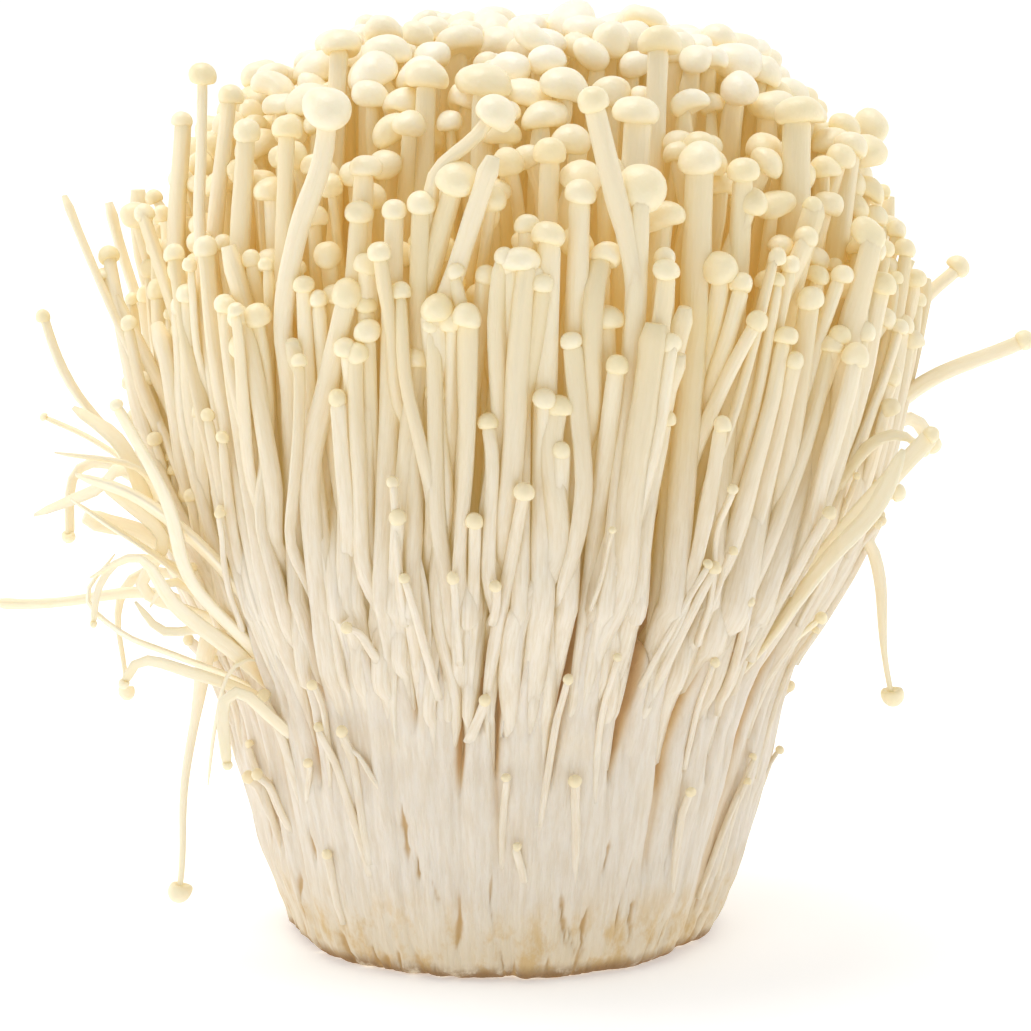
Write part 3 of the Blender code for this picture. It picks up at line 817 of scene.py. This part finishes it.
class Graph:
    """Short names for the shader nodes used here."""

    def __init__(self, owner):
        self.nodes, self.links = owner.node_tree.nodes, owner.node_tree.links

    def fill(self, node, inputs):
        """Links or sets the node's inputs, by name or number."""
        for key, value in inputs.items():
            if isinstance(value, bpy.types.NodeSocket):
                self.links.new(value, node.inputs[key])
            else:
                node.inputs[key].default_value = value

    def make(self, kind, inputs, output, **settings):
        """An output of a new node."""
        node = self.nodes.new(f"ShaderNode{kind}")
        for key, value in settings.items():
            setattr(node, key, value)
        self.fill(node, inputs)
        return node.outputs[output]

    def attribute(self, name, output="Fac"):
        return self.make("Attribute", {}, output, attribute_name=name)

    def noise(self, vector, scale, detail, roughness):
        look = {"Scale": scale, "Detail": detail, "Roughness": roughness}
        return self.make("TexNoise", {"Vector": vector, **look}, "Fac")

    def ramp(self, value, low, high, to_low=0.0, to_high=1.0):
        ends = {"From Min": low, "From Max": high, "To Min": to_low, "To Max": to_high}
        smooth = {"clamp": True, "interpolation_type": "SMOOTHSTEP"}
        return self.make("MapRange", {"Value": value, **ends}, "Result", **smooth)

    def mix(self, factor, a, b):
        return self.make("Mix", {"Factor": factor, 6: a, 7: b}, 2, data_type="RGBA")

    def math(self, operation, a, b):
        return self.make("Math", {0: a, 1: b}, 0, operation=operation)

    def bump(self, height, distance, strength):
        look = {"Height": height, "Distance": distance, "Strength": strength}
        return self.make("Bump", look, "Normal")

    def tinted(self, color, *layers):
        """The colour under a tint for each (value, from, to, most, tint)."""
        for value, low, high, most, tint in layers:
            color = self.mix(self.ramp(value, low, high, 0.0, most), color, srgb(*tint))
        return color


def new_material(name, paint):
    """A material that looks as paint says, which gets its graph and gives the shader's inputs."""
    material = bpy.data.materials.new(name)
    material.use_nodes = True
    g = Graph(material)
    g.fill(g.nodes["Principled BSDF"], paint(g))
    return material


FUSED = (srgb(233, 224, 210), srgb(223, 210, 190))
GLOW_STRENGTH = 0.07  # stands for the light that the flesh lets through
FLESH = {
    "Subsurface Weight": 0.2,
    "Subsurface Radius": (1.0, 0.78, 0.52),
    "Subsurface Scale": 1.1 * MM,
}


def mushroom_look(g):
    grain = g.attribute("grain", "Vector")
    tone, deep, cap, near, low = map(g.attribute, ("tone", "deep", "cap", "near_cap", "low"))
    fibres = g.noise(grain, 2.2, 5.0, 0.6)
    cloud = g.noise(grain, 0.55, 3.0, 0.5)
    stem = g.mix(tone, srgb(249, 241, 223), srgb(230, 213, 176))
    stem = g.tinted(
        stem,
        (fibres, 0.35, 0.75, 0.35, (236, 221, 188)),
        (cloud, 0.5, 0.8, 0.3, (240, 226, 192)),
    )
    stem = g.mix(g.math("MULTIPLY", near, 0.5), stem, srgb(245, 232, 196))
    stem = g.mix(low, stem, g.mix(g.ramp(fibres, 0.35, 0.7), *FUSED))
    crown = g.mix(tone, srgb(255, 248, 232), srgb(243, 229, 190))
    crown = g.tinted(
        crown,
        (near, 0.3, 0.0, 0.4, (246, 228, 180)),
        (cloud, 0.45, 0.8, 0.3, (248, 232, 190)),
    )
    crown = g.mix(low, crown, srgb(238, 223, 190))
    color = g.mix(cap, stem, crown)
    # Painted light: flesh deep inside the bunch is tinted golden, standing for the warm light that
    # bounces between and shines through the packed mushrooms.
    color = g.mix(g.math("MULTIPLY", deep, 0.55), color, srgb(247, 224, 150))
    return {
        **FLESH,
        "Base Color": color,
        "Roughness": g.ramp(cap, 0.0, 1.0, 0.5, 0.3),
        "Specular IOR Level": 0.45,
        "Normal": g.bump(fibres, 0.2 * MM, 0.7),
        "Emission Color": srgb(250, 228, 140),
        "Emission Strength": GLOW_STRENGTH,
    }


def base_look(g):
    where = g.make("TexCoord", {}, "Object")
    grain = g.attribute("grain", "Vector")
    painted_crevice_shade, low, scar, cut = map(g.attribute, ("painted_crevice_shade", "low", "scar", "cut"))
    fibres = g.noise(grain, 1.6, 6.0, 0.65)
    patches = g.noise(where, 90.0, 4.0, 0.6)
    squeezed = g.make("VectorMath", {0: where, 1: (1, 1, 0.5)}, 0, operation="MULTIPLY")
    blots = g.noise(squeezed, 230.0, 5.0, 0.65)
    color = g.mix(g.ramp(fibres, 0.35, 0.7), *FUSED)
    color = g.tinted(
        color,
        (patches, 0.5, 0.8, 0.35, (236, 220, 188)),
        # painted shade: a golden-brown tint down the crevices and slits and on the skin's sinking
        # top
        (painted_crevice_shade, 0.0, 1.0, 0.9, (216, 180, 122)),
        (low, 0.0, 0.9, 0.45, (224, 204, 164)),
    )
    stain = g.math("MULTIPLY", g.ramp(low, 0.0, 0.7), g.ramp(blots, 0.44, 0.64))
    color = g.mix(g.math("MULTIPLY", stain, 0.8), color, srgb(212, 178, 116))
    rim = g.math("MULTIPLY", g.ramp(low, 0.8, 0.96), g.ramp(blots, 0.3, 0.5))
    color = g.mix(g.math("MULTIPLY", rim, 0.95), color, srgb(142, 100, 48))
    color = g.tinted(color, (scar, 0.2, 0.9, 0.85, (194, 154, 92)))
    cells = {"Vector": where, "Scale": 330}
    cells = g.make("TexVoronoi", cells, "Distance", feature="DISTANCE_TO_EDGE")
    inside = g.ramp(cells, 0.0, 0.16)
    color = g.mix(cut, color, g.mix(inside, srgb(206, 176, 128), srgb(240, 227, 201)))
    return {
        **FLESH,
        "Base Color": color,
        "Roughness": 0.6,
        "Specular IOR Level": 0.3,
        "Normal": g.bump(fibres, 0.5 * MM, 0.8),
        "Emission Color": srgb(250, 236, 196),
        "Emission Strength": 0.6 * GLOW_STRENGTH,
    }


# ---- the fused base

BASE_TOP = 68.0
FLANK_SIDES = 900
BEARINGS = np.linspace(0, math.tau, FLANK_SIDES, endpoint=False)
SIN, COS = np.sin(BEARINGS), np.cos(BEARINGS)

# How thick the stems count for the surface over them, and for the skin, which sinks between them.
OVER_STEMS = ((0, 0.8), (25, 0.92), (50, 1.0))
IN_SKIN = ((0, 0.85), (25, 0.97), (38, 0.97), (46, 0.86), (54, 0.55), (64, 0.25))


def flank_of(mushrooms, widths):
    """How far out the stems reach at each height and bearing, blended where they are fused."""
    steps = ((3.5, 32, 1.2), (32, BASE_TOP, 0.7), (BASE_TOP, 96, 2))
    heights = np.concatenate([[0, 0.3, 0.8, 1.5, 2.4], *(np.arange(*step) for step in steps)])
    outer = [m for m in mushrooms if m.share > 0.8]
    lines = np.stack([m.line for m in outer])
    slopes = np.gradient(lines, LEVEL_STEP, axis=1)
    widest = np.array([m.stem * (1 - m.squash) ** -m.widening() for m in outer])[:, None]
    thickest = widest * np.array([1 - m.squash for m in outer])[:, None]
    tops = np.array([m.top for m in outer])[:, None]
    rings = []
    for z in heights:
        k = min(int(z / LEVEL_STEP), len(LEVELS) - 2)
        t = z / LEVEL_STEP - k
        at = lines[:, k] * (1 - t) + lines[:, k + 1] * t
        leaning = slopes[:, k] * (1 - t) + slopes[:, k + 1] * t
        part = through(widths, z)
        x, y = at[:, :1] - through(LEAN, z), at[:, 1:]
        forward, aside = x * SIN - y * COS, np.abs(x * COS + y * SIN)
        out = leaning[:, :1] * SIN - leaning[:, 1:] * COS
        sideways = leaning[:, :1] * COS + leaning[:, 1:] * SIN
        wide = part * widest * np.sqrt(1 + sideways**2)
        thick = part * thickest * np.sqrt(1 + out**2)
        slope = np.interp(z, (0, 26, 36, 44, 58), (0.6, 1.2, 3.0, 7.0, 10.0))
        dome = forward + thick * np.sqrt(np.maximum(1 - (aside / wide) ** 2, 0))
        reach = np.where(aside < wide, dome, forward - slope * (aside - wide))
        reach = np.where((forward < 0) | (z > tops - 3), 0.0, reach)
        sharp = np.interp(z, (0, 12, 26, 36, 44, 58), (0.9, 1.1, 1.6, 2.8, 5.0, 8.0))
        peak = reach.max(0)
        rings.append(peak + np.log(np.exp(sharp * (reach - peak)).sum(0)) / sharp - 0.25 / sharp)
    return heights, np.array(rings)


# The base's unevenness: height of a wave, how many fit round the base, and its size at heights.
ROUGHNESS = (
    (2.0, 150, (0, 7, 14, 50), (0.2, 0.14, 0.1, 0.03)),
    (7.0, 60, (0, 40, 60), (0.3, 0.15, 0.02)),
    (14.0, 14, (0, 40, 60), (0.5, 0.2, 0.0)),
    (1.5, 110, (0, 1.2, 3.5, 6), (0.5, 0.5, 0.15, 0)),
)


def base_skin(flank, rng):
    """The skin round the feet of the stems, with a ridge for every stem."""
    heights, rings = flank
    rings = rings[heights < BASE_TOP].copy()
    heights = heights[heights < BASE_TOP]
    zs = heights[:, None]
    emerge = 56 + 3 * periodic_noise(rng, 12) + 4 * periodic_noise(rng, 36)
    slit = np.clip(smooth_around(rings, 13) - rings - 0.12, 0, None)
    closing = 40 + 9 * periodic_noise(rng, 44) + 6 * periodic_noise(rng, 100)
    rings -= slit * np.interp(zs - np.clip(closing, 26, 54), (0, 6, 16), (0, 1.6, 4.0))
    for _ in range(2):
        around = 0.25 * np.roll(rings, 1, 1) + 0.5 * rings + 0.25 * np.roll(rings, -1, 1)
        rings = np.where(zs > 36, around, rings)
    rings -= np.interp(zs - emerge, (-14, -6, 0, 4, 9, 15), (0, 0.2, 0.6, 1.6, 4, 9))
    rings -= np.interp(zs, (0, 0.3, 0.8, 1.5, 2.4, 4), (2.4, 1.4, 0.8, 0.35, 0.12, 0))
    slit = slits(rng, heights, rings)
    rings -= 3.0 * slit
    # Painted shade: how far the skin lies below its smoothed ridges, and its sinking top where the
    # stems come out, both tinted golden-brown in the look.
    painted_crevice_shade = np.clip((smooth_around(rings, 29) - rings - 0.6) / 1.6, 0, 1)
    painted_crevice_shade = np.maximum(painted_crevice_shade, np.interp(zs - emerge, (-2, 6), (0, 1)))
    scar = scars(rng, zs)
    rings = rings - 0.7 * scar
    for length, waves, at, sizes in ROUGHNESS:
        rings += noise_field(rng, heights, length, waves) * np.interp(zs, at, sizes)
    centre = through(LEAN, heights)
    poles = [[0, 0, 0], [centre[-1], 0, BASE_TOP]]
    verts = gridded(centre[:, None] + rings * SIN, -rings * COS, zs, poles)
    quads, triangles = grid_faces(len(heights), FLANK_SIDES)
    grain = gridded(30 * SIN, -30 * COS, zs / 9, np.zeros((2, 3)))
    fields = {}
    low = np.clip(1 - zs / 16, 0, 1)
    for name, values, under in (
        ("painted_crevice_shade", painted_crevice_shade, 0), ("low", low, 1), ("scar", scar, 0), ("cut", zs == 0, 1)
    ):
        values = np.broadcast_to(values, rings.shape).ravel()
        fields[name] = np.concatenate([values, [under, 0]])
    parts = MeshParts()
    parts.add(verts, quads, triangles, grain=grain, **fields)
    return parts


def slits(rng, heights, rings):
    """The gaps that run on down between the stems and close to a point: 1 where deep."""
    sides = rings.shape[1]
    start = int(np.searchsorted(heights, 56))
    ring = rings[start]
    lowest = np.min([np.roll(ring, k) for k in range(-4, 5)], 0)
    depth = np.zeros_like(rings)
    for column in np.nonzero(ring == lowest)[0]:
        closing = rng.uniform(26, 42) if rng.random() < 0.7 else 50
        rows = np.arange(start, int(np.searchsorted(heights, closing)), -1)
        places = []
        for row in rows:
            near = column + np.arange(-2, 3)
            column += int(np.argmin(rings[row, near % sides] + 0.03 * np.abs(near - column))) - 2
            places.append(column)
        for row, place in zip(rows, evened(places, 11)):
            opened = heights[row] - closing
            columns = int(round(place)) + np.arange(-9, 10)
            aside = (columns - place) * math.tau * ring.mean() / sides
            gap = min(opened / 9, 1) * np.exp(-((aside / (0.34 + 0.03 * opened)) ** 2))
            depth[row, columns % sides] = np.maximum(depth[row, columns % sides], gap)
    return depth


def scars(rng, zs):
    """The short crevices low on the base, where stems were rubbed off: 1 at the bottom of each."""
    depth = np.zeros((len(zs), FLANK_SIDES))
    for _ in range(130):
        at, middle = rng.uniform(0, math.tau), 0.5 + 24 * rng.random() ** 2.4
        length, width = rng.uniform(1.2, 5.0), rng.uniform(0.22, 0.6)
        slant, curl = rng.normal(0, 0.14), rng.normal(0, 0.02)
        aside = 36 * np.angle(np.exp(1j * (BEARINGS - at)))
        aside = aside - slant * (zs - middle) - curl * (zs - middle) ** 2
        width = width * (1 + 0.5 * np.sin(zs * rng.uniform(0.8, 2.0) + rng.uniform(0, 6)))
        near = np.exp(-((aside / width) ** 2) - ((zs - middle) / length) ** 4)
        depth = np.maximum(depth, rng.uniform(0.4, 1.0) * near)
    return depth


def periodic_noise(rng, waves):
    """Smooth noise round the bunch with about that many waves."""
    knots = rng.normal(0, 0.6, waves)
    at = BEARINGS / math.tau * waves
    i = at.astype(int) % waves
    t = eased(at - at.astype(int))
    return knots[i] * (1 - t) + knots[(i + 1) % waves] * t


def noise_field(rng, heights, length, waves):
    """Smooth noise over the flank: a row of waves for each stretch of height, blended."""
    rows = int(np.ptp(heights) / length) + 3
    table = np.stack([periodic_noise(rng, waves) for _ in range(rows)])
    at = heights / length
    i = at.astype(int)
    t = eased(at - i)[:, None]
    return table[i] * (1 - t) + table[i + 1] * t


def smooth_around(values, width):
    """The highest value near each place round the bunch, smoothed."""
    half = width // 2
    for pick in (np.max, np.mean):
        padded = np.concatenate([values[:, -half:], values, values[:, :half]], 1)
        windows = np.lib.stride_tricks.sliding_window_view(padded, width, axis=1)
        values = pick(windows, axis=-1)
    return values


# ---- scene


def add_camera():
    camera = bpy.data.objects.new("camera", bpy.data.cameras.new("camera"))
    bpy.context.scene.collection.objects.link(camera)
    aim = Vector(VIEW_AIM) * MM
    distance, elevation = VIEW_DISTANCE * MM, math.radians(VIEW_ELEVATION)
    camera.location = aim + Vector((0, -math.cos(elevation), math.sin(elevation))) * distance
    camera.rotation_euler = (aim - camera.location).to_track_quat("-Z", "Y").to_euler()
    camera.data.lens, camera.data.sensor_width = LENS, SENSOR
    camera.data.clip_start = 0.01
    bpy.context.scene.camera = camera


def add_light(name, location, aim, size, power):
    data = bpy.data.lights.new(name, "AREA")
    data.shape = "DISK"
    data.size = size
    data.energy = power
    light = bpy.data.objects.new(name, data)
    light.location = location
    light.rotation_euler = (Vector(aim) - Vector(location)).to_track_quat("-Z", "Y").to_euler()
    bpy.context.scene.collection.objects.link(light)


def add_studio():
    scene = bpy.context.scene
    scene.view_settings.view_transform = "Standard"
    scene.cycles.max_bounces = 16
    scene.cycles.diffuse_bounces = 12
    world = bpy.data.worlds.new("studio")
    scene.world = world
    world.use_nodes = True
    background = world.node_tree.nodes["Background"]
    Graph(world).fill(background, {"Color": (1, 1, 1, 1), "Strength": 0.5})
    add_light("key", (-0.45, -0.95, 0.5), (0, 0, 0.06), 0.5, 0.7)
    add_light("top", (-0.2, 0.1, 1.2), (0, 0, 0.1), 0.8, 6.6)
    add_light("side_left", (-1.1, 0.15, 0.3), (0, 0, 0.04), 0.8, 2.8)
    add_light("side_right", (1.1, 0.15, 0.3), (0, 0, 0.04), 0.8, 2.2)
    sweep = ((-3.0, 0.0), (1.2, 0.0), (1.8, 0.12), (2.2, 0.5), (2.3, 1.2), (2.3, 4.0))
    mesh = bpy.data.meshes.new("floor")
    verts = [(x, y, z) for y, z in sweep for x in (-4, 4)]
    faces = [(2 * i, 2 * i + 1, 2 * i + 3, 2 * i + 2) for i in range(len(sweep) - 1)]
    mesh.from_pydata(verts, [], faces)
    mesh.shade_smooth()
    floor = bpy.data.objects.new("floor", mesh)
    scene.collection.objects.link(floor)
    white = {"Base Color": (0.9, 0.9, 0.9, 1), "Roughness": 0.9}
    glow = {"Emission Color": (1, 1, 1, 1), "Emission Strength": 0.35}
    mesh.materials.append(new_material("floor_white", lambda g: {**white, **glow}))


def link_piece(name, mesh, material, nodes):
    mesh.materials.append(material)
    piece = bpy.data.objects.new(name, mesh)
    bpy.context.scene.collection.objects.link(piece)
    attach(piece, "root")
    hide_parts(*nodes)


SIDES = ("front", "front_right", "back_right", "back", "back_left", "front_left")


def side_of(x, y):
    """The name of the sixth of the bunch that a place is in."""
    bearing = math.degrees(math.atan2(x, -y)) % 360
    return SIDES[int((bearing + 30) % 360 // 60)]


def main():
    add_camera()
    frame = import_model()
    add_studio()
    rng = np.random.default_rng(SEED)
    mushrooms = inner_mushrooms(rng) + outer_mushrooms(rng) + front_mushrooms(rng)
    pack(mushrooms)
    over_stems = flank_of(mushrooms, OVER_STEMS)
    skin = flank_of(mushrooms, IN_SKIN)
    flesh = new_material("mushroom_flesh_look", mushroom_look)
    fused = new_material("base_flesh_look", base_look)
    for material in (flesh, fused):
        material.cycles.emission_sampling = "NONE"
    pieces = {}
    for m in mushrooms + pins(rng, over_stems) + loose_stems():
        if m.points is None:
            m.points = centreline(m, 6.0 if m.share < 0.6 else 2.6 if m.share > 0.95 else 3.2)
        side = "middle" if m.share < MIDDLE_SHARE else side_of(*m.points[-1, :2])
        name = f"{'inner' if m.share < OUTER_SHARE else 'outer'}_{side}"
        add_mushroom(pieces.setdefault(name, MeshParts()), m, 0.5 if m.share < 0.6 else 1.0)
    replaced = {f"inner_{side}": [f"clump_{side}"] for side in (*SIDES, "middle")}
    for name in frame["nodes"]:
        if name.startswith("mushroom_"):
            low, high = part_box(name)
            replaced.setdefault(f"outer_{side_of(low.x + high.x, low.y + high.y)}", []).append(name)
    for name in STRAYS:
        m = stray(name, rng)
        add_mushroom(pieces.setdefault(f"{name}_look", MeshParts()), m)
        replaced[f"{name}_look"] = [name]
    for name, parts in pieces.items():
        link_piece(name, parts.mesh(name), flesh, replaced[name])
    mesh = base_skin(skin, rng).mesh("fused_base_look")
    link_piece("fused_base_look", mesh, fused, ["fused_base"])


main()
